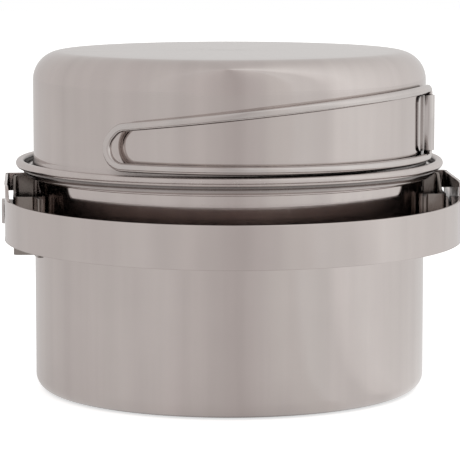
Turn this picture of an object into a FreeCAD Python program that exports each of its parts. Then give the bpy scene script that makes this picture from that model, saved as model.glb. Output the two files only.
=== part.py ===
import FreeCAD, Part
import math
import os

from FreeCAD import Vector

# A camping cook set of two vessels. The pot has a step-out collar, a rolled rim and a flat
# strap bail on two riveted lugs. The frying pan lies upside down in the collar as the lid,
# and has one wire loop handle that folds round its wall.
# Millimetres. The origin is on the pot's axis, in the plane that it stands on. +Z is up,
# X runs through the two bail rivets, and the folded bail reaches towards -Y.
# Azimuths are measured round Z from -Y towards +X.

# ---- the pot ----
SHEET = 0.6                  # thickness of the drawn steel of both vessels
POT_RADIUS = 82.5            # outside of the pot's wall
POT_CORNER = 6.2             # outside radius between the bottom and the wall
LEDGE_UNDERSIDE = 90.5       # height of the step under the collar
COLLAR_STEP = 4.9            # the collar's outside beyond the wall's outside
LEDGE_ROOT_BEND = 1.2        # middle-line radius where the wall turns out
COLLAR_FOOT_BEND = 2.6       # middle-line radius where the ledge turns up
COLLAR_HEIGHT = 7.1          # from the step's underside to the top of the pot's rolled bead
BEAD = 3.6                   # diameter of the rolled bead on both vessels
CURL_TURN = 300              # degrees that the rim is rolled through

# ---- the pan, upside down ----
PAN_DEPTH = 51.4             # from the rolled rim to the outside of its bottom
PAN_CORNER = 12.0            # outside radius between its bottom and its wall
PAN_FLARE = 0.5              # its wall stands this much further in than its rim
PAN_FLARE_BEND = 6.0         # middle-line radius of the small flare above the bead
SEAT_GAP = 0.3               # free height between the pan's bead and the ledge
NEST_GAP = 0.4               # free radius between the pan's bead and the collar

# ---- the wire handle and its hinge ----
WIRE = 3.5                   # diameter of the handle wire
HINGE_AZIMUTH = 72.0         # where the barrel stands on the pan's wall
HINGE_STANDOFF = 2.3         # from the pan's wall to the barrel's axis
HANDLE_SWEEP = 105.0         # degrees of wall that the two long runs follow
HANDLE_SPREAD = 3.0          # how much further out the tip stands than the hinge
WIRE_OVER_RIM = 0.35         # free height between the lower run and the pot's bead
LOWER_RISE = 0.9             # the lower run climbs this much to the tip
BARREL_BELOW_CORNER = 5.4    # from the barrel's top to the start of the pan's corner
TIP_HEIGHT = 16.0            # between the two runs' middles where the tip starts
PIN_BEND = 3.0               # middle-line radius where a run turns into the barrel
PIN_APART = 7.0              # between the wire's two ends inside the barrel
TIP_ROUNDNESS = 0.92         # tip bend radius as a share of half the tip's height
TIP_ROUNDS = 12              # rounds of fitting the tip's straight between its two bends
PIN_CLEARANCE = 0.1          # free radius round the wire in the barrel
BRACKET_SHEET = 0.8
BARREL_OVER_BEND = 0.3       # the barrel's ends reach this far over the wire's bends
BRACKET_FLANGE = 10.6        # half width of the bracket, round the wall
BRACKET_ROOT_BEND = 0.9
BRACKET_CORNER = 3.0
WELD_GAP = 0.05              # a spot-welded flange lies this far off the curved wall

# ---- the bail and its lugs ----
BAIL_LEG = 23.0              # from the pivots to the start of the half round
BAIL_SHEET = 1.2
BAIL_WIDTH = 17.5            # width of the strap
BAIL_DROOP = 0.75            # degrees that the folded bail hangs below level
PIVOT_DROP = 15.3            # from the step's underside down to the pivots
EAR_TOP = 14.6               # upper and lower edges of the ears, from the pivot
EAR_BOTTOM = -11.0
EAR_REAR = 13.0              # where the ear's flat plate ends behind the pivot
EAR_FRONT = -34.0            # the ear's top ends here, well round the strap's curve
EAR_SLOPE = 2.5              # length in which the edge drops to the strap's edge
EAR_HOLLOW = 5.0             # radius of the hollow below that drop
EAR_CORNER = 3.0
EAR_UNDERCUT = 30.0          # radius of the gentle bends in the lower edge
EAR_UNDERCUT_FRONT = -9.0    # the lower edge reaches the strap's edge here
STOP_BEND = 1.4              # middle-line radius between ear and stop flange
STOP_REACH = 8.2             # straight part of the stop flange, towards the pot
STOP_BOTTOM = 7.0            # lower edge of the stop flange, from the pivot
STOP_GAP = 0.35              # stop flange to the lug's rear wall, bail folded
LUG_SHEET = 1.2
LUG_STANDOFF = 9.1           # from the pot's wall to the lug's outer face
LUG_FRONT = -10.6            # front face of the lug, from the pivot
LUG_TOP_FRONT = 7.0
LUG_TOP_REAR = 14.0
LUG_TOP_RUN = 9.0            # length in which its upper edge climbs to the rear
LUG_FOOT = -17.5             # lower edge of the lug's front wall
LUG_SWEEP_GAP = 0.4          # lug's underside inside the stop flange's path
LUG_FLANGE = 9.0             # width of a weld flange
LUG_ROOT_BEND = 1.4
LUG_CROWN_BEND = 1.8
LUG_TOP_HOLLOW = 10.0        # radius of the hollow in the lug's upper edge
LUG_TOP_CROWN = 2.5          # radius where that edge turns level at the rear
LUG_CORNER = 3.0
RIVET_SHANK = 2.5            # radius
RIVET_HEAD = 5.35            # radius
RIVET_HEAD_HEIGHT = 1.2
RIVET_TAIL = 4.3
RIVET_TAIL_HEIGHT = 1.3
RIVET_EDGE = 0.5             # rounding of the rivet's heads
FIXED_HOLE_CLEARANCE = 0.05  # free radius in the lug and the washer
PIVOT_CLEARANCE = 0.08       # free radius in the turning ear
EAR_SIDE_GAP = 0.3           # free width on both sides of the ear
WASHER_RADIUS = 4.9
WASHER_THICKNESS = 1.9       # the spacer between the lug and the ear

# ---- worked out ----
UP = Vector(0, 0, 1)
AXIS_X = Vector(1, 0, 0)
LEDGE_TOP = LEDGE_UNDERSIDE + SHEET
RIM_TOP = LEDGE_UNDERSIDE + COLLAR_HEIGHT
COLLAR_INSIDE = POT_RADIUS + COLLAR_STEP - SHEET
PAN_RIM = LEDGE_TOP + SEAT_GAP
PAN_TOP = PAN_RIM + PAN_DEPTH
PAN_BEAD_RADIUS = COLLAR_INSIDE - NEST_GAP
PAN_RADIUS = PAN_BEAD_RADIUS - BEAD + SHEET - PAN_FLARE
HINGE_RADIUS = PAN_RADIUS + HINGE_STANDOFF
LOWER_RUN = RIM_TOP + WIRE_OVER_RIM + WIRE / 2
BARREL_BOTTOM = LOWER_RUN + PIN_BEND - BARREL_OVER_BEND
BARREL_TOP = PAN_TOP - PAN_CORNER - BARREL_BELOW_CORNER
UPPER_RUN = BARREL_TOP + PIN_BEND - BARREL_OVER_BEND
UPPER_DROP = UPPER_RUN - LOWER_RUN - LOWER_RISE - TIP_HEIGHT
PIN_LENGTH = (UPPER_RUN - LOWER_RUN - PIN_APART) / 2 - PIN_BEND
LUG_OUTSIDE = POT_RADIUS + LUG_STANDOFF
EAR_INSIDE = LUG_OUTSIDE + WASHER_THICKNESS + EAR_SIDE_GAP
BAIL_HALF_WIDTH = EAR_INSIDE + BAIL_SHEET
STOP_FRONT = EAR_REAR + STOP_BEND - BAIL_SHEET / 2
LUG_REAR = STOP_FRONT - EAR_TOP * math.sin(math.radians(BAIL_DROOP)) - STOP_GAP
SWEEP_RADIUS = math.hypot(STOP_FRONT, STOP_BOTTOM) - LUG_SWEEP_GAP
PIVOT_HEIGHT = LEDGE_UNDERSIDE - PIVOT_DROP
PIVOT = Vector(0, 0, PIVOT_HEIGHT)
OVERSIZE = 40.0              # cutting blocks reach this far past what they cut


def turned(point, centre, degrees):
    """The point after a turn about the centre, in the XY plane."""
    angle = math.radians(degrees)
    arm = point - centre
    across = arm.x * math.cos(angle) - arm.y * math.sin(angle)
    along = arm.x * math.sin(angle) + arm.y * math.cos(angle)
    return centre + Vector(across, along, 0)


class SheetRun:
    """A bent sheet seen from its edge, drawn by walking along its middle line."""

    def __init__(self, start, heading, thickness):
        self.at = start
        self.heading = heading
        self.half = thickness / 2
        self.edges = []
        self.first = self.sides()

    def sides(self):
        left = turned(Vector(self.half, 0, 0), Vector(), self.heading + 90)
        return self.at + left, self.at - left

    def straight(self, length):
        step = turned(Vector(length, 0, 0), Vector(), self.heading)
        for start in self.sides():
            self.edges.append(Part.LineSegment(start, start + step).toShape())
        self.at = self.at + step

    def bend(self, radius, degrees):
        """A bend to the left by a positive angle, or to the right by a negative one."""
        side = math.copysign(90, degrees)
        centre = self.at + turned(Vector(radius, 0, 0), Vector(), self.heading + side)
        for start in self.sides():
            middle = turned(start, centre, degrees / 2)
            end = turned(start, centre, degrees)
            self.edges.append(Part.Arc(start, middle, end).toShape())
        self.at = turned(self.at, centre, degrees)
        self.heading += degrees

    def face(self):
        for left, right in (self.first, self.sides()):
            self.edges.append(Part.LineSegment(left, right).toShape())
        return Part.Face(Part.Wire(Part.sortEdges(self.edges)[0]))


def spun(face):
    """A solid of revolution about Z from a face drawn with X as radius and Y as height."""
    face.rotate(Vector(), AXIS_X, 90)
    return face.revolve(Vector(), UP, 360)


def rounded_outline(corners):
    """A closed face in the XY plane from (x, y, rounding radius) corners."""
    points = [Vector(x, y, 0) for x, y, _ in corners]
    edges = []
    joints = []
    for index, (_, _, radius) in enumerate(corners):
        corner = points[index]
        back = (points[index - 1] - corner).normalize()
        ahead = (points[(index + 1) % len(points)] - corner).normalize()
        half_angle = back.getAngle(ahead) / 2
        reach = radius / math.tan(half_angle)
        start = corner + back * reach
        end = corner + ahead * reach
        if radius > 0:
            inward = (back + ahead).normalize()
            middle = corner + inward * (radius / math.sin(half_angle) - radius)
            edges.append(Part.Arc(start, middle, end).toShape())
        joints.append((start, end))
    for index, (start, _) in enumerate(joints):
        edges.append(Part.LineSegment(joints[index - 1][1], start).toShape())
    return Part.Face(Part.Wire(Part.sortEdges(edges)[0]))


def side_block(corners):
    """A block along X whose outline is given as (y, height above the pivot, radius)."""
    face = rounded_outline(corners)
    face.rotate(Vector(), AXIS_X, 90)
    face.rotate(Vector(), UP, 90)
    face.translate(Vector(-BAIL_HALF_WIDTH - OVERSIZE, 0, PIVOT_HEIGHT))
    return face.extrude(AXIS_X * 2 * (BAIL_HALF_WIDTH + OVERSIZE))


def raised(face, bottom, top):
    """The face lifted to the bottom height and extruded up to the top height."""
    face.translate(UP * bottom)
    return face.extrude(UP * (top - bottom))


def mirrored_pair(name, shape):
    """The same piece on the right, as built, and on the left."""
    return {name + "_right": shape, name + "_left": shape.mirror(Vector(), AXIS_X)}


def pot_body():
    wall = POT_RADIUS - SHEET / 2
    collar = COLLAR_INSIDE + SHEET / 2
    corner = POT_CORNER - SHEET / 2
    ledge = LEDGE_TOP - SHEET / 2
    bead_middle = RIM_TOP - BEAD / 2
    run = SheetRun(Vector(0, SHEET / 2, 0), 0, SHEET)
    run.straight(wall - corner)
    run.bend(corner, 90)
    run.straight(ledge - LEDGE_ROOT_BEND - POT_CORNER)
    run.bend(LEDGE_ROOT_BEND, -90)
    run.straight(collar - wall - LEDGE_ROOT_BEND - COLLAR_FOOT_BEND)
    run.bend(COLLAR_FOOT_BEND, 90)
    run.straight(bead_middle - ledge - COLLAR_FOOT_BEND)
    run.bend((BEAD - SHEET) / 2, -CURL_TURN)
    return spun(run.face())


def pan_body():
    wall = PAN_RADIUS - SHEET / 2
    corner = PAN_CORNER - SHEET / 2
    flare_angle = math.degrees(math.acos(1 - PAN_FLARE / (2 * PAN_FLARE_BEND)))
    flare_height = 2 * PAN_FLARE_BEND * math.sin(math.radians(flare_angle))
    bead_middle = PAN_RIM + BEAD / 2
    run = SheetRun(Vector(0, PAN_TOP - SHEET / 2, 0), 0, SHEET)
    run.straight(wall - corner)
    run.bend(corner, -90)
    run.straight(PAN_TOP - PAN_CORNER - bead_middle - flare_height - BEAD / 2)
    run.bend(PAN_FLARE_BEND, flare_angle)
    run.bend(PAN_FLARE_BEND, -flare_angle)
    run.straight(BEAD / 2)
    run.bend((BEAD - SHEET) / 2, CURL_TURN)
    return spun(run.face())


def radial(azimuth):
    angle = math.radians(azimuth)
    return Vector(math.sin(angle), -math.cos(angle), 0)


def rod(start, end):
    """A straight length of the handle wire."""
    return Part.makeCylinder(WIRE / 2, (end - start).Length, start, end - start)


def rod_bend(start, heading, towards, radius, degrees):
    """A bent length of the wire: its solid, its end and the heading there."""
    centre = start + towards * radius
    axis = heading.cross(towards)
    disc = Part.Face(Part.Wire(Part.makeCircle(WIRE / 2, start, heading)))
    angle = math.radians(degrees)
    end = centre + (heading * math.sin(angle) - towards * math.cos(angle)) * radius
    onward = heading * math.cos(angle) + towards * math.sin(angle)
    return disc.revolve(centre, axis, degrees), end, onward


def bend_to(start, heading, target, radius):
    """A bent length of the wire that ends with the target heading."""
    towards = (target - heading * heading.dot(target)).normalize()
    degrees = math.degrees(heading.getAngle(target))
    return rod_bend(start, heading, towards, radius, degrees)


def handle_run(height, climb):
    """One long run, from its pin in the barrel to the tip: solids, end and heading."""
    out = radial(HINGE_AZIMUTH)
    along = out.cross(UP)
    vertical = UP if height > (LOWER_RUN + UPPER_RUN) / 2 else UP * -1
    hinge = out * HINGE_RADIUS + UP * (height - vertical.z * PIN_BEND)
    pin = rod(hinge - vertical * PIN_LENGTH, hinge)
    corner, start, heading = rod_bend(hinge, vertical, along, PIN_BEND, 90)
    sweep = math.radians(HANDLE_SWEEP)
    swept = 1 - math.cos(sweep)
    radius = HINGE_RADIUS + (HANDLE_SPREAD - PIN_BEND * math.sin(sweep)) / swept
    tilt = math.asin(climb / (radius * swept))
    towards = out * -math.cos(tilt) + UP * math.sin(tilt)
    long_bend, end, onward = rod_bend(start, heading, towards, radius, HANDLE_SWEEP)
    return [pin, corner, long_bend], end, onward


def pan_handle():
    """Two runs joined at the tip. Each round turns the tip's straight until both bends meet it."""
    lower, low_end, low_heading = handle_run(LOWER_RUN, LOWER_RISE)
    upper, high_end, high_heading = handle_run(UPPER_RUN, -UPPER_DROP)
    tip_radius = (high_end.z - low_end.z) / 2 * TIP_ROUNDNESS
    rise = UP
    for _ in range(TIP_ROUNDS):
        low_turn, low_top, _ = bend_to(low_end, low_heading, rise, tip_radius)
        high_turn, high_foot, _ = bend_to(high_end, high_heading, rise * -1, tip_radius)
        gap = high_foot - low_top
        miss = gap - rise * gap.dot(rise)
        square = low_heading.cross(rise).normalize()
        sideways = square * miss.dot(square)
        rise = rise + (miss - sideways) * (1 / gap.Length)
        rise = (rise + sideways * (1 / (gap.Length + 2 * tip_radius))).normalize()
    pieces = lower + upper + [low_turn, high_turn, rod(low_top, high_foot)]
    return pieces[0].multiFuse(pieces[1:]).removeSplitter()


def welded_root(wall_middle, leg, bend):
    """Angle on the wall at which a flange turns up into a leg, and the leg's foot."""
    angle = math.asin((leg + bend) / (wall_middle + bend))
    return math.degrees(angle), (wall_middle + bend) * math.cos(angle)


def pan_hinge_bracket():
    wall_middle = PAN_RADIUS + WELD_GAP + BRACKET_SHEET / 2
    loop = WIRE / 2 + PIN_CLEARANCE + BRACKET_SHEET / 2
    root, foot = welded_root(wall_middle, loop, BRACKET_ROOT_BEND)
    reach = math.degrees(BRACKET_FLANGE / wall_middle)
    run = SheetRun(turned(Vector(0, wall_middle, 0), Vector(), reach), reach, BRACKET_SHEET)
    run.bend(wall_middle, root - reach)
    run.bend(BRACKET_ROOT_BEND, 90 - root)
    run.straight(HINGE_RADIUS - foot)
    run.bend(loop, -180)
    run.straight(HINGE_RADIUS - foot)
    run.bend(BRACKET_ROOT_BEND, 90 - root)
    run.bend(wall_middle, root - reach)
    saddle = raised(run.face(), BARREL_BOTTOM, BARREL_TOP)
    half = BRACKET_FLANGE
    corners = [(-half, BARREL_BOTTOM), (half, BARREL_BOTTOM), (half, BARREL_TOP), (-half, BARREL_TOP)]
    window = rounded_outline([(x, z, BRACKET_CORNER) for x, z in corners])
    window.rotate(Vector(), AXIS_X, 90)
    block = window.extrude(Vector(0, HINGE_RADIUS + OVERSIZE, 0))
    saddle = saddle.common(block)
    saddle.rotate(Vector(), UP, HINGE_AZIMUTH - 180)
    return saddle


def bail_strap():
    middle = BAIL_HALF_WIDTH - BAIL_SHEET / 2
    run = SheetRun(Vector(STOP_BEND + STOP_REACH - middle, STOP_FRONT + BAIL_SHEET / 2, 0), 180, BAIL_SHEET)
    run.straight(STOP_REACH)
    run.bend(STOP_BEND, 90)
    run.straight(EAR_REAR + BAIL_LEG)
    run.bend(middle, 180)
    run.straight(EAR_REAR + BAIL_LEG)
    run.bend(STOP_BEND, 90)
    run.straight(STOP_REACH)
    band = raised(run.face(), PIVOT_HEIGHT + EAR_BOTTOM - OVERSIZE, PIVOT_HEIGHT + EAR_TOP + OVERSIZE)
    front = -BAIL_LEG - BAIL_HALF_WIDTH - OVERSIZE
    edge = BAIL_WIDTH / 2
    band = band.common(side_block([
        (front, -edge, 0),
        (EAR_UNDERCUT_FRONT, -edge, EAR_UNDERCUT),
        (0, EAR_BOTTOM, EAR_UNDERCUT),
        (EAR_REAR, EAR_BOTTOM, EAR_CORNER),
        (EAR_REAR, STOP_BOTTOM, 0),
        (EAR_REAR + OVERSIZE, STOP_BOTTOM, 0),
        (EAR_REAR + OVERSIZE, EAR_TOP, 0),
        (EAR_FRONT, EAR_TOP, EAR_CORNER),
        (EAR_FRONT - EAR_SLOPE, edge, EAR_HOLLOW),
        (front, edge, 0),
    ]))
    hole = Part.makeCylinder(RIVET_SHANK + PIVOT_CLEARANCE, 2 * (BAIL_HALF_WIDTH + OVERSIZE),
                             PIVOT - AXIS_X * (BAIL_HALF_WIDTH + OVERSIZE), AXIS_X)
    band = band.cut(hole)
    band.rotate(PIVOT, AXIS_X, BAIL_DROOP)
    return band


def bail_lug():
    """The right-hand lug: a hat-shaped bracket round the rivet."""
    wall_middle = POT_RADIUS + WELD_GAP + LUG_SHEET / 2
    plate = LUG_OUTSIDE - LUG_SHEET / 2
    front_leg = -LUG_FRONT - LUG_SHEET / 2
    rear_leg = LUG_REAR - LUG_SHEET / 2
    front_root, front_foot = welded_root(wall_middle, front_leg, LUG_ROOT_BEND)
    rear_root, rear_foot = welded_root(wall_middle, rear_leg, LUG_ROOT_BEND)
    flange = math.degrees(LUG_FLANGE / wall_middle)
    start = front_root + flange
    run = SheetRun(turned(Vector(0, wall_middle, 0), Vector(), start), start, LUG_SHEET)
    run.bend(wall_middle, -flange)
    run.bend(LUG_ROOT_BEND, 90 - front_root)
    run.straight(plate - LUG_CROWN_BEND - front_foot)
    run.bend(LUG_CROWN_BEND, -90)
    run.straight(front_leg + rear_leg - 2 * LUG_CROWN_BEND)
    run.bend(LUG_CROWN_BEND, -90)
    run.straight(plate - LUG_CROWN_BEND - rear_foot)
    run.bend(LUG_ROOT_BEND, 90 - rear_root)
    run.bend(wall_middle, -flange)
    hat = run.face()
    hat.rotate(Vector(), UP, -90)
    hat = hat.mirror(Vector(), Vector(0, 1, 0))
    hat = raised(hat, PIVOT_HEIGHT + LUG_FOOT, PIVOT_HEIGHT + LUG_TOP_REAR)
    hat = hat.common(side_block([
        (-OVERSIZE, LUG_FOOT, LUG_CORNER),
        (OVERSIZE, LUG_FOOT, LUG_CORNER),
        (OVERSIZE, LUG_TOP_REAR, LUG_CORNER),
        (LUG_REAR - LUG_SHEET, LUG_TOP_REAR, LUG_TOP_CROWN),
        (LUG_REAR - LUG_SHEET - LUG_TOP_RUN, LUG_TOP_FRONT, LUG_TOP_HOLLOW),
        (-OVERSIZE, LUG_TOP_FRONT, LUG_CORNER),
    ]))
    hat = hat.cut(stop_path())
    hole = Part.makeCylinder(RIVET_SHANK + FIXED_HOLE_CLEARANCE, OVERSIZE,
                             PIVOT + AXIS_X * (LUG_OUTSIDE - OVERSIZE / 2), AXIS_X)
    return hat.cut(hole)


def stop_path():
    """The space under the right-hand lug that the bail's stop flange swings through."""
    inner = EAR_INSIDE - STOP_BEND - STOP_REACH - EAR_SIDE_GAP
    start = Vector(inner, LUG_FRONT + LUG_CROWN_BEND, PIVOT_HEIGHT - OVERSIZE)
    block = Part.makeBox(OVERSIZE, 2 * OVERSIZE, OVERSIZE, start)
    return block.cut(Part.makeCylinder(SWEEP_RADIUS, 2 * OVERSIZE, PIVOT + AXIS_X * OVERSIZE, AXIS_X))


def bail_rivet():
    """The right-hand rivet, drawn along Z and turned onto the X axis."""
    tail_start = LUG_OUTSIDE - LUG_SHEET - RIVET_TAIL_HEIGHT
    head_start = BAIL_HALF_WIDTH + EAR_SIDE_GAP
    tail = Part.makeCylinder(RIVET_TAIL, RIVET_TAIL_HEIGHT)
    tail = tail.makeFillet(RIVET_EDGE, [tail.Edges[2]])
    shank = Part.makeCylinder(RIVET_SHANK, head_start - tail_start)
    head = Part.makeCylinder(RIVET_HEAD, RIVET_HEAD_HEIGHT)
    head = head.makeFillet(RIVET_EDGE, [head.Edges[0]])
    head.translate(UP * (head_start - tail_start))
    rivet = shank.fuse([tail, head]).removeSplitter()
    rivet.rotate(Vector(), Vector(0, 1, 0), 90)
    rivet.translate(PIVOT + AXIS_X * tail_start)
    return rivet


def bail_washer():
    """The right-hand spacer between the lug and the ear."""
    face = PIVOT + AXIS_X * LUG_OUTSIDE
    disc = Part.makeCylinder(WASHER_RADIUS, WASHER_THICKNESS, face, AXIS_X)
    hole = Part.makeCylinder(RIVET_SHANK + FIXED_HOLE_CLEARANCE, WASHER_THICKNESS, face, AXIS_X)
    return disc.cut(hole)


def main():
    pieces = {
        "pot_body": pot_body(),
        "pan_body": pan_body(),
        "pan_hinge_bracket": pan_hinge_bracket(),
        "pan_handle": pan_handle(),
        "bail_strap": bail_strap(),
    }
    pieces.update(mirrored_pair("bail_lug", bail_lug()))
    pieces.update(mirrored_pair("bail_rivet", bail_rivet()))
    pieces.update(mirrored_pair("bail_washer", bail_washer()))
    os.makedirs("parts", exist_ok=True)
    for name, shape in pieces.items():
        shape.exportStep("parts/" + name + ".step")
        print(name, len(shape.Solids), "solid", shape.isValid(), round(shape.Volume, 1), "mm3")


main()
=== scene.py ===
import math

import bmesh
import bpy
from mathutils import Matrix, Vector


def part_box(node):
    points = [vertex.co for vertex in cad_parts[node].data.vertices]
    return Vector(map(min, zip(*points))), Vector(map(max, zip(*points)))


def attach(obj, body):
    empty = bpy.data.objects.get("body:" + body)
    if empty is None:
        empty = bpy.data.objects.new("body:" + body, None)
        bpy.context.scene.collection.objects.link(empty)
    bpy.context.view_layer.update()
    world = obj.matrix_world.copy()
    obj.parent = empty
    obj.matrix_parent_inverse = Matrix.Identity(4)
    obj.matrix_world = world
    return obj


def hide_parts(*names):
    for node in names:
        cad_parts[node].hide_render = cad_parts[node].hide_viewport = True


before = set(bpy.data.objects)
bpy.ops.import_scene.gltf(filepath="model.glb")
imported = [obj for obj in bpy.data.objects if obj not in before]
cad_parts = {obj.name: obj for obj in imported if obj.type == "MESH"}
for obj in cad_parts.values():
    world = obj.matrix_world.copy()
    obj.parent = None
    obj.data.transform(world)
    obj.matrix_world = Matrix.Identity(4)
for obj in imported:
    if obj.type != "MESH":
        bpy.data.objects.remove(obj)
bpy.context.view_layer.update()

# A camping cook set: a pot with a strap bail, and a frying pan that lies upside down in the
# pot's collar as the lid. Metres, in the frame of the CAD part: the origin is on the pot's axis
# in the plane that it stands on, X runs through the bail's rivets and the front is -Y.

# ---- sizes of the two vessels ----
SHEET = 0.0006
BEAD = 0.0036
CURL_TURN = 300
POT_RADIUS = 0.0825
POT_CORNER = 0.0062
LEDGE_UNDERSIDE = 0.0905
LEDGE_TOP = LEDGE_UNDERSIDE + SHEET
LEDGE_ROOT_BEND = 0.0012
COLLAR_STEP = 0.00487        # 0.03 mm less than the CAD's, to stay inside its facets
COLLAR_FOOT_BEND = 0.0026
RIM_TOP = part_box("pot_body")[1].z
PAN_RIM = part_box("pan_body")[0].z
PAN_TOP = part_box("pan_body")[1].z
PAN_RADIUS = 0.0829
PAN_CORNER = 0.012
PAN_FLARE = 0.0005
PAN_FLARE_BEND = 0.006

# ---- sizes of the wire handle ----
WIRE = 0.0035
HINGE_AZIMUTH = 72
HINGE_RADIUS = 0.0852
HANDLE_SWEEP = 105
HANDLE_SPREAD = 0.003
LOWER_RUN = 0.0997
UPPER_RUN = 0.1281
LOWER_RISE = 0.0009
UPPER_DROP = 0.0115
PIN_BEND = 0.003
PIN_LENGTH = 0.0077
TIP_ROUNDNESS = 0.92
TIP_ROUNDS = 12

# ---- sizes of the bail and its rivets ----
PIVOT_HEIGHT = 0.0752
BAIL_HALF_WIDTH = 0.095
BAIL_LEG = 0.02297           # 0.03 mm less than the CAD's, for the same reason
BAIL_SHEET = 0.0012
BAIL_WIDTH = 0.0175
BAIL_DROOP = 0.75
EAR_TOP = 0.0146
EAR_BOTTOM = -0.011
EAR_REAR = 0.013
EAR_FRONT = -0.034
EAR_SLOPE = 0.0025
EAR_HOLLOW = 0.005
EAR_CORNER = 0.003
EAR_UNDERCUT = 0.030
EAR_UNDERCUT_FRONT = -0.009
STOP_BEND = 0.0014
STOP_REACH = 0.0082
STOP_BOTTOM = 0.007
STRAP_EDGE_ROUND = 0.00022
LUG_OUTSIDE = 0.0916
LUG_SHEET = 0.0012
EAR_SIDE_GAP = 0.0003
RIVET_SHANK = 0.0025
RIVET_HEAD = 0.00535
RIVET_HEAD_HEIGHT = 0.00119
RIVET_TAIL = 0.0043
RIVET_TAIL_HEIGHT = 0.0013
RIVET_EDGE = 0.0005
WASHER_RADIUS = 0.0049
WASHER_THICKNESS = 0.0019

SEGMENTS = 288
SMALL_SEGMENTS = 64
WIRE_SIDES = 28
ARC_STEP = 6.0
UP = Vector((0, 0, 1))


# ---- profiles: a bent sheet seen from its edge ----
def turned(point, centre, degrees):
    angle = math.radians(degrees)
    across, along = point[0] - centre[0], point[1] - centre[1]
    return (centre[0] + across * math.cos(angle) - along * math.sin(angle),
            centre[1] + across * math.sin(angle) + along * math.cos(angle))


class SheetRun:
    """Walks along the middle of a sheet and keeps the points of its two faces."""

    def __init__(self, start, heading, thickness):
        self.at = start
        self.heading = heading
        self.half = thickness / 2
        self.left = []
        self.right = []
        self.mark()

    def mark(self):
        side = turned((self.half, 0), (0, 0), self.heading + 90)
        self.left.append((self.at[0] + side[0], self.at[1] + side[1]))
        self.right.append((self.at[0] - side[0], self.at[1] - side[1]))

    def straight(self, length, parts=1):
        step = turned((length / parts, 0), (0, 0), self.heading)
        for _ in range(parts):
            self.at = (self.at[0] + step[0], self.at[1] + step[1])
            self.mark()

    def bend(self, radius, degrees):
        side = turned((radius, 0), (0, 0), self.heading + math.copysign(90, degrees))
        centre = (self.at[0] + side[0], self.at[1] + side[1])
        parts = max(3, math.ceil(abs(degrees) / ARC_STEP))
        for _ in range(parts):
            self.at = turned(self.at, centre, degrees / parts)
            self.heading += degrees / parts
            self.mark()

    def section(self):
        return self.right + self.left[::-1]


def pot_section():
    wall = POT_RADIUS - SHEET / 2
    collar = POT_RADIUS + COLLAR_STEP - SHEET / 2
    corner = POT_CORNER - SHEET / 2
    ledge = LEDGE_TOP - SHEET / 2
    run = SheetRun((0, SHEET / 2), 0, SHEET)
    run.straight(wall - corner, 6)
    run.bend(corner, 90)
    run.straight(ledge - LEDGE_ROOT_BEND - POT_CORNER, 8)
    run.bend(LEDGE_ROOT_BEND, -90)
    run.straight(collar - wall - LEDGE_ROOT_BEND - COLLAR_FOOT_BEND)
    run.bend(COLLAR_FOOT_BEND, 90)
    run.straight(RIM_TOP - BEAD / 2 - ledge - COLLAR_FOOT_BEND)
    run.bend((BEAD - SHEET) / 2, -CURL_TURN)
    return run.section()


def pan_section():
    wall = PAN_RADIUS - SHEET / 2
    corner = PAN_CORNER - SHEET / 2
    angle = math.degrees(math.acos(1 - PAN_FLARE / (2 * PAN_FLARE_BEND)))
    flare_height = 2 * PAN_FLARE_BEND * math.sin(math.radians(angle))
    run = SheetRun((0, PAN_TOP - SHEET / 2), 0, SHEET)
    run.straight(wall - corner, 6)
    run.bend(corner, -90)
    run.straight(PAN_TOP - PAN_CORNER - PAN_RIM - BEAD - flare_height, 6)
    run.bend(PAN_FLARE_BEND, angle)
    run.bend(PAN_FLARE_BEND, -angle)
    run.straight(BEAD / 2)
    run.bend((BEAD - SHEET) / 2, CURL_TURN)
    return run.section()


def rounded(corners):
    """Points of a polyline through (x, y, radius) corners, with its corners rounded."""
    points = [Vector((x, y)) for x, y, _ in corners]
    result = [points[0]]
    for index in range(1, len(corners) - 1):
        corner, radius = points[index], corners[index][2]
        back = (points[index - 1] - corner).normalized()
        ahead = (points[index + 1] - corner).normalized()
        half_angle = back.angle(ahead) / 2
        if radius == 0:
            result.append(corner)
            continue
        reach = radius / math.tan(half_angle)
        centre = corner + (back + ahead).normalized() * (radius / math.sin(half_angle))
        start, end = corner + back * reach - centre, corner + ahead * reach - centre
        parts = max(3, math.ceil(math.degrees(start.angle(end)) / ARC_STEP))
        for part in range(parts + 1):
            result.append(centre + start.slerp(end, part / parts).normalized() * radius)
    result.append(points[-1])
    return result


def rivet_section():
    tail_start = LUG_OUTSIDE - LUG_SHEET - RIVET_TAIL_HEIGHT
    head_start = BAIL_HALF_WIDTH + EAR_SIDE_GAP
    head_top = head_start + RIVET_HEAD_HEIGHT
    return [tuple(point) for point in rounded([
        (0, tail_start, 0),
        (RIVET_TAIL, tail_start, RIVET_EDGE),
        (RIVET_TAIL, tail_start + RIVET_TAIL_HEIGHT, 0),
        (RIVET_SHANK, tail_start + RIVET_TAIL_HEIGHT, 0),
        (RIVET_SHANK, head_start, 0),
        (RIVET_HEAD, head_start, 0),
        (RIVET_HEAD, head_top, RIVET_EDGE),
        (0, head_top, 0),
    ])]


def washer_section():
    edge = STRAP_EDGE_ROUND
    inner, outer = RIVET_SHANK, WASHER_RADIUS
    low, high = LUG_OUTSIDE, LUG_OUTSIDE + WASHER_THICKNESS
    return [(inner, low), (outer - edge, low), (outer, low + edge), (outer, high - edge),
            (outer - edge, high), (inner, high), (inner, low)]


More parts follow.
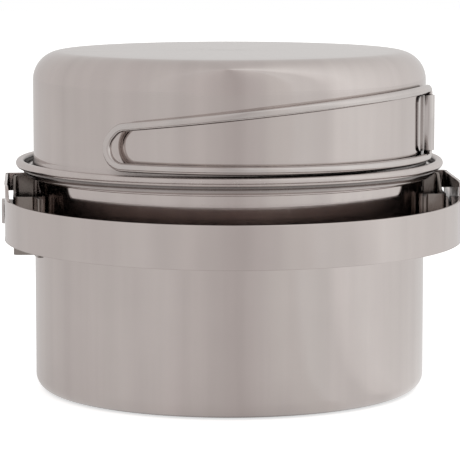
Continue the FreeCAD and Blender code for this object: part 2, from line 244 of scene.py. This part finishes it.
# ---- node trees ----
def new_tree(name, sizes):
    """A geometry tree with named inputs, and its first and last nodes."""
    tree = bpy.data.node_groups.new(name, "GeometryNodeTree")
    tree.interface.new_socket("Geometry", in_out="INPUT", socket_type="NodeSocketGeometry")
    for label, kind in sizes:
        tree.interface.new_socket(label, in_out="INPUT", socket_type=kind)
    tree.interface.new_socket("Geometry", in_out="OUTPUT", socket_type="NodeSocketGeometry")
    return tree, tree.nodes.new("NodeGroupInput"), tree.nodes.new("NodeGroupOutput")


def math_node(tree, operation, first, second=None):
    node = tree.nodes.new("ShaderNodeMath")
    node.operation = operation
    for socket, value in zip(node.inputs, (first, second)):
        if isinstance(value, (int, float)):
            socket.default_value = value
        elif value is not None:
            tree.links.new(value, socket)
    return node.outputs[0]


def close_tree(tree, given, final, geometry):
    """Ends a tree with smooth faces, real geometry and the material."""
    smooth = tree.nodes.new("GeometryNodeSetShadeSmooth")
    real = tree.nodes.new("GeometryNodeRealizeInstances")
    finish = tree.nodes.new("GeometryNodeSetMaterial")
    tree.links.new(geometry, smooth.inputs["Geometry"])
    tree.links.new(smooth.outputs["Geometry"], real.inputs["Geometry"])
    tree.links.new(real.outputs["Geometry"], finish.inputs["Geometry"])
    tree.links.new(given.outputs["Material"], finish.inputs["Material"])
    tree.links.new(finish.outputs["Geometry"], final.inputs["Geometry"])


def spun_surface(tree, given):
    """Turns the section's points round Z: a grid with one row for each point."""
    links = tree.links
    count = tree.nodes.new("GeometryNodeAttributeDomainSize")
    links.new(given.outputs["Geometry"], count.inputs["Geometry"])
    columns = math_node(tree, "ADD", given.outputs["Segments"], 1)
    grid = tree.nodes.new("GeometryNodeMeshGrid")
    links.new(count.outputs["Point Count"], grid.inputs["Vertices X"])
    links.new(columns, grid.inputs["Vertices Y"])
    index = tree.nodes.new("GeometryNodeInputIndex").outputs[0]
    halfway = math_node(tree, "ADD", index, 0.5)
    row = math_node(tree, "FLOOR", math_node(tree, "DIVIDE", halfway, columns))
    column = math_node(tree, "SUBTRACT", index, math_node(tree, "MULTIPLY", row, columns))
    sample = tree.nodes.new("GeometryNodeSampleIndex")
    sample.data_type = "FLOAT_VECTOR"
    sample.domain = "POINT"
    position = tree.nodes.new("GeometryNodeInputPosition")
    links.new(given.outputs["Geometry"], sample.inputs["Geometry"])
    links.new(position.outputs[0], sample.inputs["Value"])
    links.new(row, sample.inputs["Index"])
    apart = tree.nodes.new("ShaderNodeSeparateXYZ")
    links.new(sample.outputs[0], apart.inputs[0])
    turn = math_node(tree, "DIVIDE", math_node(tree, "MULTIPLY", column, math.tau),
                     given.outputs["Segments"])
    place = tree.nodes.new("ShaderNodeCombineXYZ")
    radius = apart.outputs["X"]
    for function, label in (("SINE", "X"), ("COSINE", "Y")):
        share = math_node(tree, function, turn)
        links.new(math_node(tree, "MULTIPLY", radius, share), place.inputs[label])
    links.new(apart.outputs["Z"], place.inputs["Z"])
    shaped = tree.nodes.new("GeometryNodeSetPosition")
    links.new(grid.outputs["Mesh"], shaped.inputs["Geometry"])
    links.new(place.outputs[0], shaped.inputs["Position"])
    merged = tree.nodes.new("GeometryNodeMergeByDistance")
    merged.inputs["Distance"].default_value = 1e-6
    links.new(shaped.outputs["Geometry"], merged.inputs["Geometry"])
    return merged.outputs["Geometry"]


def vessel_tree():
    tree, given, final = new_tree("spun_vessel", [("Segments", "NodeSocketInt"),
                                                  ("Material", "NodeSocketMaterial")])
    close_tree(tree, given, final, spun_surface(tree, given))
    return tree


def pivot_pair_tree():
    """The spun piece laid along X, once at each end of the bail's pivot line."""
    tree, given, final = new_tree("pivot_pair", [("Segments", "NodeSocketInt"),
                                                 ("Pivot Height", "NodeSocketFloat"),
                                                 ("Material", "NodeSocketMaterial")])
    piece = spun_surface(tree, given)
    height = tree.nodes.new("ShaderNodeCombineXYZ")
    tree.links.new(given.outputs["Pivot Height"], height.inputs["Z"])
    both = tree.nodes.new("GeometryNodeJoinGeometry")
    for quarter in (90, -90):
        laid = tree.nodes.new("GeometryNodeTransform")
        laid.inputs["Rotation"].default_value = (0, math.radians(quarter), 0)
        tree.links.new(piece, laid.inputs["Geometry"])
        tree.links.new(height.outputs[0], laid.inputs["Translation"])
        tree.links.new(laid.outputs["Geometry"], both.inputs["Geometry"])
    close_tree(tree, given, final, both.outputs["Geometry"])
    return tree


def wire_tree():
    tree, given, final = new_tree("swept_wire", [("Wire Radius", "NodeSocketFloat"),
                                                 ("Sides", "NodeSocketInt"),
                                                 ("Material", "NodeSocketMaterial")])
    line = tree.nodes.new("GeometryNodeMeshToCurve")
    ring = tree.nodes.new("GeometryNodeCurvePrimitiveCircle")
    sweep = tree.nodes.new("GeometryNodeCurveToMesh")
    sweep.inputs["Fill Caps"].default_value = True
    tree.links.new(given.outputs["Geometry"], line.inputs["Mesh"])
    tree.links.new(given.outputs["Wire Radius"], ring.inputs["Radius"])
    tree.links.new(given.outputs["Sides"], ring.inputs["Resolution"])
    tree.links.new(line.outputs["Curve"], sweep.inputs["Curve"])
    tree.links.new(ring.outputs["Curve"], sweep.inputs["Profile Curve"])
    close_tree(tree, given, final, sweep.outputs["Mesh"])
    return tree


def polyline(name, points):
    mesh = bpy.data.meshes.new(name)
    mesh.from_pydata([tuple(p) for p in points], [(i, i + 1) for i in range(len(points) - 1)], [])
    return mesh


def tidy(mesh, sharp=38):
    """Outward normals and crisp edges."""
    work = bmesh.new()
    work.from_mesh(mesh)
    bmesh.ops.remove_doubles(work, verts=work.verts, dist=1e-7)
    bmesh.ops.recalc_face_normals(work, faces=work.faces)
    for face in work.faces:
        face.smooth = True
    work.to_mesh(mesh)
    work.free()
    mesh.set_sharp_from_angle(angle=math.radians(sharp))
    return mesh


def place_piece(name, mesh, body, slot, *replaced):
    piece = bpy.data.objects.new(name, mesh)
    bpy.context.scene.collection.objects.link(piece)
    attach(piece, body)
    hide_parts(*replaced)
    return piece


def mesh_by_nodes(name, points, tree, sizes):
    """Runs a tree on a row of points and keeps the result as a plain mesh."""
    holder = bpy.data.objects.new(name + "_line", polyline(name + "_line", points))
    bpy.context.scene.collection.objects.link(holder)
    modifier = holder.modifiers.new("shape", "NODES")
    modifier.node_group = tree
    for item in tree.interface.items_tree:
        if item.item_type == "SOCKET" and item.in_out == "INPUT" and item.name in sizes:
            modifier[item.identifier] = sizes[item.name]
    bpy.context.view_layer.update()
    depsgraph = bpy.context.evaluated_depsgraph_get()
    mesh = bpy.data.meshes.new_from_object(holder.evaluated_get(depsgraph), depsgraph=depsgraph)
    mesh.name = name
    bpy.data.objects.remove(holder)
    return tidy(mesh)


# ---- materials ----
CREVICE_SHADE_OPEN = (0.12, 0.65)  # openness at which the painted shade in a crevice is darkest, and at which it ends
CREVICE_SHADE_TONE = 0.10          # tone of the painted crevice shade at its darkest
CREVICE_SHADE_SAMPLES = 8
LINES_PER_METRE = 2600       # fine turning lines
BEAD_EDGE = 0.0005           # height in which the painted shade under the rim bead turns back to bright


def steel(name, tint, shade, roughness, brushed, reach, satin=None, waist=None, dim=None):
    """Polished steel with fine turning lines, soft vertical waves, smears, hair scratches and
    painted crevice shade.

    tint and shade are its two tones, brushed the strength of the lines, reach how near a
    neighbour paints shade on it, satin the heights between which a duller band starts and how much
    duller it is, waist the heights between which the wall leans in and how far, and dim the
    heights between which painted shade darkens the steel, up to a bead that stays bright, and its
    tone there.
    """
    material = bpy.data.materials.new(name)
    material.use_nodes = True
    tree = material.node_tree
    nodes, links = tree.nodes, tree.links
    shader = nodes["Principled BSDF"]
    shader.inputs["Metallic"].default_value = 1.0
    place = nodes.new("ShaderNodeTexCoord").outputs["Object"]
    apart = nodes.new("ShaderNodeSeparateXYZ")
    links.new(place, apart.inputs[0])
    x, y, z = apart.outputs
    radius = math_node(tree, "SQRT", math_node(
        tree, "ADD", math_node(tree, "MULTIPLY", x, x), math_node(tree, "MULTIPLY", y, y)))
    radius = math_node(tree, "MAXIMUM", radius, 0.001)
    along = math_node(tree, "ADD", radius, z)

    def around(turns, lines):
        """A point that changes by turns round the axis and by lines across it."""
        vector = nodes.new("ShaderNodeCombineXYZ")
        links.new(math_node(tree, "MULTIPLY", math_node(tree, "DIVIDE", x, radius), turns),
                  vector.inputs["X"])
        links.new(math_node(tree, "MULTIPLY", math_node(tree, "DIVIDE", y, radius), turns),
                  vector.inputs["Y"])
        links.new(math_node(tree, "MULTIPLY", along, lines), vector.inputs["Z"])
        return vector.outputs[0]

    def noise(vector, scale, detail=2.0):
        texture = nodes.new("ShaderNodeTexNoise")
        texture.inputs["Scale"].default_value = scale
        texture.inputs["Detail"].default_value = detail
        links.new(vector, texture.inputs["Vector"])
        return texture.outputs["Fac"]

    def spread(value, low, high):
        bounds = nodes.new("ShaderNodeMapRange")
        bounds.inputs["To Min"].default_value = low
        bounds.inputs["To Max"].default_value = high
        links.new(value, bounds.inputs["Value"])
        return bounds.outputs[0]

    def by_height(low, high, first, last):
        """A value that runs from the first to the last between two heights."""
        bounds = nodes.new("ShaderNodeMapRange")
        for label, value in (("From Min", low), ("From Max", high),
                             ("To Min", first), ("To Max", last)):
            bounds.inputs[label].default_value = value
        links.new(z, bounds.inputs["Value"])
        return bounds.outputs[0]

    lines = noise(around(1.5, LINES_PER_METRE), 1.0, 3.0)
    waves = noise(around(5.5, 6), 1.0, 2.0)
    streaks = noise(around(8, 3), 1.0, 5.0)
    smears = noise(place, 38, 4.0)
    stretched = nodes.new("ShaderNodeMapping")
    stretched.inputs["Rotation"].default_value = (0.35, 0.6, 0.2)
    stretched.inputs["Scale"].default_value = (2400, 2400, 45)
    links.new(place, stretched.inputs["Vector"])
    hairs = noise(stretched.outputs[0], 1.0, 1.0)
    scratch = nodes.new("ShaderNodeMapRange")
    scratch.inputs["From Min"].default_value = 0.70
    scratch.inputs["From Max"].default_value = 0.78
    links.new(hairs, scratch.inputs["Value"])

    tone = nodes.new("ShaderNodeMix")
    tone.data_type = "RGBA"
    tone.inputs["A"].default_value = (*shade, 1)
    tone.inputs["B"].default_value = (*tint, 1)
    links.new(spread(waves, -0.4, 1.4), tone.inputs["Factor"])
    streaked = math_node(tree, "MULTIPLY", spread(streaks, 0.90, 1.09), spread(smears, 0.95, 1.05))
    # Painted shade: ambient occlusion darkens the colour where neighbouring surfaces are near, in
    # place of the shade that falls in crevices and between parts.
    hidden = nodes.new("ShaderNodeAmbientOcclusion")
    hidden.samples = CREVICE_SHADE_SAMPLES
    if isinstance(reach, tuple):
        links.new(by_height(*reach), hidden.inputs["Distance"])
    else:
        hidden.inputs["Distance"].default_value = reach
    dark = nodes.new("ShaderNodeMapRange")
    dark.interpolation_type = "SMOOTHSTEP"
    dark.inputs["From Min"].default_value = CREVICE_SHADE_OPEN[0]
    dark.inputs["From Max"].default_value = CREVICE_SHADE_OPEN[1]
    dark.inputs["To Min"].default_value = CREVICE_SHADE_TONE
    links.new(hidden.outputs["AO"], dark.inputs["Value"])
    # Painted shade under the rim bead: the colour darkens by height from the ledge up to the bead,
    # which stays bright.
    if dim:
        low, high, deepest = dim
        collar = math_node(tree, "MAXIMUM", by_height(low, high, 1.0, deepest),
                           by_height(high, high + BEAD_EDGE, 0.0, 1.0))
        streaked = math_node(tree, "MULTIPLY", streaked, collar)
    shaded = nodes.new("ShaderNodeVectorMath")
    shaded.operation = "SCALE"
    links.new(tone.outputs["Result"], shaded.inputs[0])
    links.new(math_node(tree, "MULTIPLY", dark.outputs[0], streaked), shaded.inputs["Scale"])
    links.new(shaded.outputs[0], shader.inputs["Base Color"])

    dull = math_node(tree, "ADD", spread(smears, roughness * 0.75, roughness * 1.2),
                     math_node(tree, "MULTIPLY", scratch.outputs[0], 0.10))
    dull = math_node(tree, "ADD", dull, spread(lines, -0.02 * brushed, 0.03 * brushed))
    if satin:
        dull = math_node(tree, "ADD", dull, by_height(satin[0], satin[1], 0.0, satin[2]))
    links.new(dull, shader.inputs["Roughness"])

    fine = nodes.new("ShaderNodeBump")
    fine.inputs["Strength"].default_value = 0.10 * brushed
    fine.inputs["Distance"].default_value = 0.00004
    links.new(lines, fine.inputs["Height"])
    soft = nodes.new("ShaderNodeBump")
    soft.inputs["Strength"].default_value = 0.35
    soft.inputs["Distance"].default_value = 0.0004
    links.new(waves, soft.inputs["Height"])
    links.new(fine.outputs["Normal"], soft.inputs["Normal"])
    normal = soft.outputs["Normal"]
    if waist:
        waisted = nodes.new("ShaderNodeBump")
        waisted.inputs["Distance"].default_value = waist[2]
        links.new(by_height(waist[0], waist[1], 1.0, 0.0), waisted.inputs["Height"])
        links.new(normal, waisted.inputs["Normal"])
        normal = waisted.outputs["Normal"]
    links.new(normal, shader.inputs["Normal"])
    return material


WARM = (0.640, 0.590, 0.570)
ROSY = (0.632, 0.575, 0.560)
COOL = (0.630, 0.600, 0.590)
# The lugs' dark tone is painted shade: their steel is as light as the rest and only lies in shade
# behind the bail's ears.
SHADED_LUG_TONE = (0.30, 0.27, 0.25)
pot_steel = steel("pot_steel", WARM, ROSY, 0.07, 1.0,
                  (LEDGE_UNDERSIDE - 0.003, LEDGE_TOP, 0.002, 0.009),
                  satin=(LEDGE_UNDERSIDE - 0.001, LEDGE_TOP + 0.002, 0.16),
                  waist=(LEDGE_UNDERSIDE - 0.013, LEDGE_UNDERSIDE - 0.001, 0.00042),
                  dim=(LEDGE_UNDERSIDE - 0.0004, RIM_TOP - BEAD - 0.0002, 0.32))
pan_steel = steel("pan_steel", WARM, ROSY, 0.07, 1.0, 0.008)
strap_steel = steel("strap_steel", WARM, ROSY, 0.11, 1.4, 0.007)
bracket_steel = steel("bracket_steel", WARM, COOL, 0.10, 1.0, 0.012)
shaded_lug_steel = steel("shaded_lug_steel", SHADED_LUG_TONE, SHADED_LUG_TONE, 0.16, 1.0, 0.012)
wire_steel = steel("wire_steel", WARM, COOL, 0.10, 0.6, 0.004)
rivet_steel = steel("rivet_steel", COOL, WARM, 0.20, 0.6, 0.004)


# ---- the vessels ----
vessel = vessel_tree()
for name, section, material, body, slot, node in (
        ("pot_shell", pot_section(), pot_steel, "pot", "pot_steel", "pot_body"),
        ("pan_shell", pan_section(), pan_steel, "pan", "pan_steel", "pan_body")):
    mesh = mesh_by_nodes(name, [(r, 0, z) for r, z in section], vessel,
                         {"Segments": SEGMENTS, "Material": material})
    place_piece(name, mesh, body, slot, node)


# ---- rivets and washers ----
pair = pivot_pair_tree()
for name, section, nodes in (
        ("bail_rivets", rivet_section(), ("bail_rivet_right", "bail_rivet_left")),
        ("bail_washers", washer_section(), ("bail_washer_right", "bail_washer_left"))):
    mesh = mesh_by_nodes(name, [(r, 0, z) for r, z in section], pair,
                         {"Segments": SMALL_SEGMENTS, "Pivot Height": PIVOT_HEIGHT,
                          "Material": rivet_steel})
    place_piece(name, mesh, "pot", "rivet_steel", *nodes)


# ---- the wire handle ----
def radial(azimuth):
    angle = math.radians(azimuth)
    return Vector((math.sin(angle), -math.cos(angle), 0))


def wire_bend(start, heading, towards, radius, degrees, step=ARC_STEP):
    """Points of a bend after its start, and the heading at its end."""
    centre = start + towards * radius
    parts = max(4, math.ceil(abs(degrees) / step))
    points = []
    for part in range(1, parts + 1):
        angle = math.radians(degrees * part / parts)
        points.append(centre + (heading * math.sin(angle) - towards * math.cos(angle)) * radius)
    angle = math.radians(degrees)
    return points, heading * math.cos(angle) + towards * math.sin(angle)


def bend_to(start, heading, target, radius):
    towards = (target - heading * heading.dot(target)).normalized()
    return wire_bend(start, heading, towards, radius, math.degrees(heading.angle(target)))


def handle_run(height, climb):
    """Points of one long run from its pin to the tip, and the heading there."""
    out = radial(HINGE_AZIMUTH)
    along = out.cross(UP)
    vertical = UP if height > (LOWER_RUN + UPPER_RUN) / 2 else -UP
    hinge = out * HINGE_RADIUS + UP * (height - vertical.z * PIN_BEND)
    points = [hinge - vertical * PIN_LENGTH, hinge]
    corner, heading = wire_bend(hinge, vertical, along, PIN_BEND, 90)
    sweep = math.radians(HANDLE_SWEEP)
    swept = 1 - math.cos(sweep)
    radius = HINGE_RADIUS + (HANDLE_SPREAD - PIN_BEND * math.sin(sweep)) / swept
    tilt = math.asin(climb / (radius * swept))
    towards = out * -math.cos(tilt) + UP * math.sin(tilt)
    points += corner
    long_bend, onward = wire_bend(points[-1], heading, towards, radius, HANDLE_SWEEP, 2)
    return points + long_bend, onward


def handle_path():
    lower, low_heading = handle_run(LOWER_RUN, LOWER_RISE)
    upper, high_heading = handle_run(UPPER_RUN, -UPPER_DROP)
    low_end, high_end = lower[-1], upper[-1]
    tip_radius = (high_end.z - low_end.z) / 2 * TIP_ROUNDNESS
    rise = UP.copy()
    for _ in range(TIP_ROUNDS):
        low_turn, _ = bend_to(low_end, low_heading, rise, tip_radius)
        high_turn, _ = bend_to(high_end, high_heading, -rise, tip_radius)
        gap = high_turn[-1] - low_turn[-1]
        miss = gap - rise * gap.dot(rise)
        square = low_heading.cross(rise).normalized()
        sideways = square * miss.dot(square)
        rise = rise + (miss - sideways) / gap.length
        rise = (rise + sideways / (gap.length + 2 * tip_radius)).normalized()
    return lower + low_turn + (upper + high_turn)[::-1]


mesh = mesh_by_nodes("wire_handle", handle_path(), wire_tree(),
                     {"Wire Radius": WIRE / 2, "Sides": WIRE_SIDES, "Material": wire_steel})
place_piece("wire_handle", mesh, "handle", "wire_steel", "pan_handle")


# ---- the strap bail ----
def height_on(line, y):
    """Height of a line of (y, z) points, whose y falls or rises all the way, at that y."""
    ordered = sorted(line, key=lambda p: p[0])
    for first, second in zip(ordered, ordered[1:]):
        if first[0] <= y <= second[0] and second[0] > first[0]:
            return first[1] + (second[1] - first[1]) * (y - first[0]) / (second[0] - first[0])
    return ordered[0][1] if y < ordered[0][0] else ordered[-1][1]


def strap_stations():
    """(x, y, outward x, outward y, is on a stop flange) all along the strap's middle line."""
    middle = BAIL_HALF_WIDTH - BAIL_SHEET / 2
    breaks = {p[0] for p in UPPER_EDGE + LOWER_EDGE if -BAIL_LEG < p[0] < EAR_REAR}
    leg = sorted(breaks | {EAR_REAR, -BAIL_LEG, -BAIL_LEG / 2})[::-1]
    turns = {math.asin((-BAIL_LEG - p[0]) / middle) for p in UPPER_EDGE
             if -BAIL_LEG - middle < p[0] < -BAIL_LEG}
    quarter = sorted(turns | {math.radians(a) for a in range(1, 91)})
    half = []
    flange_y = EAR_REAR + STOP_BEND
    flange_x = middle - STOP_BEND
    for part in (0, 0.5, 1):
        half.append((flange_x - STOP_REACH * (1 - part), flange_y, 0, 1, True))
    for angle in range(75, -1, -15):
        c, s = math.cos(math.radians(angle)), math.sin(math.radians(angle))
        half.append((flange_x + STOP_BEND * c, EAR_REAR + STOP_BEND * s, c, s, True))
    for y in leg:
        half.append((middle, y, 1, 0, False))
    for angle in quarter:
        c, s = math.cos(angle), math.sin(angle)
        half.append((middle * c, -BAIL_LEG - middle * s, c, -s, False))
    other = [(-x, y, -out_x, out_y, flange) for x, y, out_x, out_y, flange in half[-2::-1]]
    return half + other


def strap_ring(station):
    """One cross-section of the strap, with its four long edges rounded."""
    x, y, out_x, out_y, flange = station
    half = BAIL_SHEET / 2
    ring = []
    for side, high in ((1, False), (1, True), (-1, True), (-1, False)):
        face_y = y + out_y * half * side
        if flange:
            level = EAR_TOP if high else STOP_BOTTOM
        else:
            level = height_on(UPPER_EDGE if high else LOWER_EDGE, face_y)
        steps = [(1, 0.29), (0.29, 1)] if high else [(0.29, 1), (1, 0.29)]
        steps = steps if side > 0 else steps[::-1]
        corner = []
        for inset, drop in steps:
            offset = half - STRAP_EDGE_ROUND * (1 - drop)
            sink = STRAP_EDGE_ROUND * (1 - inset)
            corner.append((x + out_x * side * offset, y + out_y * side * offset,
                           level - sink if high else level + sink))
        ring += corner
    return ring


def strap_mesh():
    rings = [strap_ring(station) for station in strap_stations()]
    size = len(rings[0])
    verts = [point for ring in rings for point in ring]
    faces = []
    for row in range(len(rings) - 1):
        for side in range(size):
            a, b = row * size + side, row * size + (side + 1) % size
            faces.append((a, b, b + size, a + size))
    last = (len(rings) - 1) * size
    faces.append(tuple(range(size)))
    faces.append(tuple(range(last, last + size)))
    mesh = bpy.data.meshes.new("strap_bail")
    mesh.from_pydata(verts, [], faces)
    mesh.transform(Matrix.Translation((0, 0, PIVOT_HEIGHT)) @
                   Matrix.Rotation(math.radians(BAIL_DROOP), 4, "X"))
    mesh.materials.append(strap_steel)
    return tidy(mesh)


UPPER_EDGE = [tuple(p) for p in rounded([
    (EAR_REAR + 0.01, EAR_TOP, 0),
    (EAR_FRONT, EAR_TOP, EAR_CORNER),
    (EAR_FRONT - EAR_SLOPE, BAIL_WIDTH / 2, EAR_HOLLOW),
    (-0.2, BAIL_WIDTH / 2, 0)])]
LOWER_EDGE = [tuple(p) for p in rounded([
    (-0.2, -BAIL_WIDTH / 2, 0),
    (EAR_UNDERCUT_FRONT, -BAIL_WIDTH / 2, EAR_UNDERCUT),
    (0, EAR_BOTTOM, EAR_UNDERCUT),
    (EAR_REAR, EAR_BOTTOM, EAR_CORNER),
    (EAR_REAR, STOP_BOTTOM, 0)])]
place_piece("strap_bail", strap_mesh(), "bail", "strap_steel", "bail_strap")


# ---- lugs and hinge bracket: the CAD shape with softened edges ----
FLAT_ANGLE = 0.5             # degrees within which neighbouring facets are one face
LUG_EDGE = 0.0002
BRACKET_EDGE = 0.00015


def softened(node, name, width, material):
    """The CAD node's shape with its sharp edges bevelled by the width."""
    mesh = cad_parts[node].data.copy()
    mesh.name = name
    work = bmesh.new()
    work.from_mesh(mesh)
    bmesh.ops.remove_doubles(work, verts=work.verts, dist=1e-6)
    bmesh.ops.dissolve_limit(work, angle_limit=math.radians(FLAT_ANGLE),
                             verts=work.verts, edges=work.edges)
    work.to_mesh(mesh)
    work.free()
    holder = bpy.data.objects.new(name + "_edges", mesh)
    bpy.context.scene.collection.objects.link(holder)
    bevel = holder.modifiers.new("edges", "BEVEL")
    bevel.width = width
    bevel.segments = 2
    bevel.limit_method = "ANGLE"
    bevel.angle_limit = math.radians(40)
    depsgraph = bpy.context.evaluated_depsgraph_get()
    result = bpy.data.meshes.new_from_object(holder.evaluated_get(depsgraph), depsgraph=depsgraph)
    result.name = name
    bpy.data.objects.remove(holder)
    result.materials.clear()
    result.materials.append(material)
    return tidy(result, 45)


for side in ("right", "left"):
    # The lugs take the darker copy of the steel, which paints the shade that falls on them.
    mesh = softened("bail_lug_" + side, "lug_" + side, LUG_EDGE, shaded_lug_steel)
    place_piece("lug_" + side, mesh, "pot", "bracket_steel", "bail_lug_" + side)
mesh = softened("pan_hinge_bracket", "hinge_bracket", BRACKET_EDGE, bracket_steel)
place_piece("hinge_bracket", mesh, "pan", "bracket_steel", "pan_hinge_bracket")


# ---- studio ----
PAPER_TONE = 0.80
FLOOR_GLOW = 0.66            # lifts the paper to white where the camera sees it
CARD_SHARE = 0.75            # how much of the surround the steel sees in the floor
FLOOR_REACH = 4.0
FLOOR_LEVEL = -0.0003
LAMP_WATTS = 2.5
# Tone of the surround by azimuth from the front, as (degrees, red, green, blue).
SURROUND = (
    (-180, 0.655, 0.64, 0.63),
    (-150, 0.68, 0.66, 0.65),
    (-60, 0.72, 0.70, 0.69),
    (-48, 0.74, 0.72, 0.71),
    (-35, 0.71, 0.69, 0.68),
    (-23, 0.71, 0.68, 0.67),
    (-12, 0.655, 0.625, 0.615),
    (0, 0.565, 0.535, 0.525),
    (12, 0.68, 0.655, 0.645),
    (22, 0.76, 0.74, 0.725),
    (29, 0.775, 0.755, 0.74),
    (34, 0.85, 0.84, 0.83),
    (50, 0.84, 0.83, 0.82),
    (57, 0.96, 0.95, 0.94),
    (70, 1.0, 1.0, 0.99),
    (140, 0.80, 0.79, 0.78),
    (180, 0.655, 0.64, 0.63),
)


def surround_tone(tree, vector):
    """The surround's colour for a direction or a place."""
    apart = tree.nodes.new("ShaderNodeSeparateXYZ")
    tree.links.new(vector, apart.inputs[0])
    azimuth = math_node(tree, "ARCTAN2", apart.outputs["X"],
                        math_node(tree, "MULTIPLY", apart.outputs["Y"], -1))
    share = math_node(tree, "ADD", math_node(tree, "DIVIDE", azimuth, math.tau), 0.5)
    ramp = tree.nodes.new("ShaderNodeValToRGB")
    stops = ramp.color_ramp.elements
    for index, (degrees, red, green, blue) in enumerate(SURROUND):
        position = degrees / 360 + 0.5
        stop = stops[index] if index < 2 else stops.new(position)
        stop.position = position
        stop.color = (red, green, blue, 1)
    tree.links.new(share, ramp.inputs["Fac"])
    return ramp.outputs["Color"]


def world_light():
    world = bpy.data.worlds.new("studio")
    bpy.context.scene.world = world
    world.use_nodes = True
    tree = world.node_tree
    tree.nodes.clear()
    way = tree.nodes.new("ShaderNodeLightPath")
    seen = tree.nodes.new("ShaderNodeBackground")
    seen.inputs["Color"].default_value = (1, 1, 1, 1)
    around = tree.nodes.new("ShaderNodeBackground")
    direction = tree.nodes.new("ShaderNodeTexCoord").outputs["Generated"]
    tree.links.new(surround_tone(tree, direction), around.inputs["Color"])
    around.inputs["Strength"].default_value = 1.0
    mix = tree.nodes.new("ShaderNodeMixShader")
    tree.links.new(way.outputs["Is Camera Ray"], mix.inputs["Fac"])
    tree.links.new(around.outputs[0], mix.inputs[1])
    tree.links.new(seen.outputs[0], mix.inputs[2])
    final = tree.nodes.new("ShaderNodeOutputWorld")
    tree.links.new(mix.outputs[0], final.inputs["Surface"])


def floor_material():
    material = bpy.data.materials.new("floor_paper")
    material.use_nodes = True
    tree = material.node_tree
    tree.nodes.clear()
    way = tree.nodes.new("ShaderNodeLightPath")
    paper = tree.nodes.new("ShaderNodeBsdfDiffuse")
    paper.inputs["Color"].default_value = (PAPER_TONE, PAPER_TONE, PAPER_TONE, 1)
    glow = tree.nodes.new("ShaderNodeEmission")
    glow.inputs["Color"].default_value = (1, 1, 1, 1)
    glow.inputs["Strength"].default_value = FLOOR_GLOW
    seen = tree.nodes.new("ShaderNodeAddShader")
    tree.links.new(paper.outputs[0], seen.inputs[0])
    tree.links.new(glow.outputs[0], seen.inputs[1])
    place = tree.nodes.new("ShaderNodeTexCoord").outputs["Object"]
    card = tree.nodes.new("ShaderNodeEmission")
    tree.links.new(surround_tone(tree, place), card.inputs["Color"])
    mirrored = tree.nodes.new("ShaderNodeMixShader")
    mirrored.inputs["Fac"].default_value = CARD_SHARE
    tree.links.new(paper.outputs[0], mirrored.inputs[1])
    tree.links.new(card.outputs[0], mirrored.inputs[2])
    first = tree.nodes.new("ShaderNodeMixShader")
    tree.links.new(way.outputs["Is Glossy Ray"], first.inputs["Fac"])
    tree.links.new(paper.outputs[0], first.inputs[1])
    tree.links.new(mirrored.outputs[0], first.inputs[2])
    second = tree.nodes.new("ShaderNodeMixShader")
    tree.links.new(way.outputs["Is Camera Ray"], second.inputs["Fac"])
    tree.links.new(first.outputs[0], second.inputs[1])
    tree.links.new(seen.outputs[0], second.inputs[2])
    final = tree.nodes.new("ShaderNodeOutputMaterial")
    tree.links.new(second.outputs[0], final.inputs["Surface"])
    return material


def floor():
    mesh = bpy.data.meshes.new("floor")
    reach, level = FLOOR_REACH, FLOOR_LEVEL
    mesh.from_pydata([(-reach, -reach, level), (reach, -reach, level), (reach, reach, level),
                      (-reach, reach, level)], [], [(0, 1, 2, 3)])
    mesh.materials.append(floor_material())
    piece = bpy.data.objects.new("floor", mesh)
    bpy.context.scene.collection.objects.link(piece)


def soft_box(name, place, size, watts, target=(0, 0, 0.07)):
    lamp = bpy.data.lights.new(name, "AREA")
    lamp.shape = "RECTANGLE"
    lamp.size, lamp.size_y = size
    lamp.energy = watts
    holder = bpy.data.objects.new(name, lamp)
    holder.location = place
    holder.rotation_euler = (Vector(target) - Vector(place)).to_track_quat("-Z", "Y").to_euler()
    holder.visible_glossy = False
    bpy.context.scene.collection.objects.link(holder)


world_light()
floor()
soft_box("overhead", (0.15, -0.1, 1.9), (2.4, 2.4), LAMP_WATTS)


# ---- camera ----
CAMERA_AZIMUTH = -4.0
CAMERA_DISTANCE = 1.1147
CAMERA_HEIGHT = 0.2035
CAMERA_PITCH = 7.02
CAMERA_LENS = 206.4
CAMERA_TURN = -0.013         # degrees from the line to the pot's axis
camera_data = bpy.data.cameras.new("view")
camera_data.lens = CAMERA_LENS
camera_data.sensor_width = 36
camera_data.clip_start = 0.05
camera = bpy.data.objects.new("view", camera_data)
camera.location = radial(CAMERA_AZIMUTH) * CAMERA_DISTANCE + UP * CAMERA_HEIGHT
camera.rotation_euler = (math.radians(90 - CAMERA_PITCH), 0,
                         math.radians(CAMERA_AZIMUTH + CAMERA_TURN))
bpy.context.scene.collection.objects.link(camera)
bpy.context.scene.camera = camera
bpy.context.scene.view_settings.view_transform = "Standard"
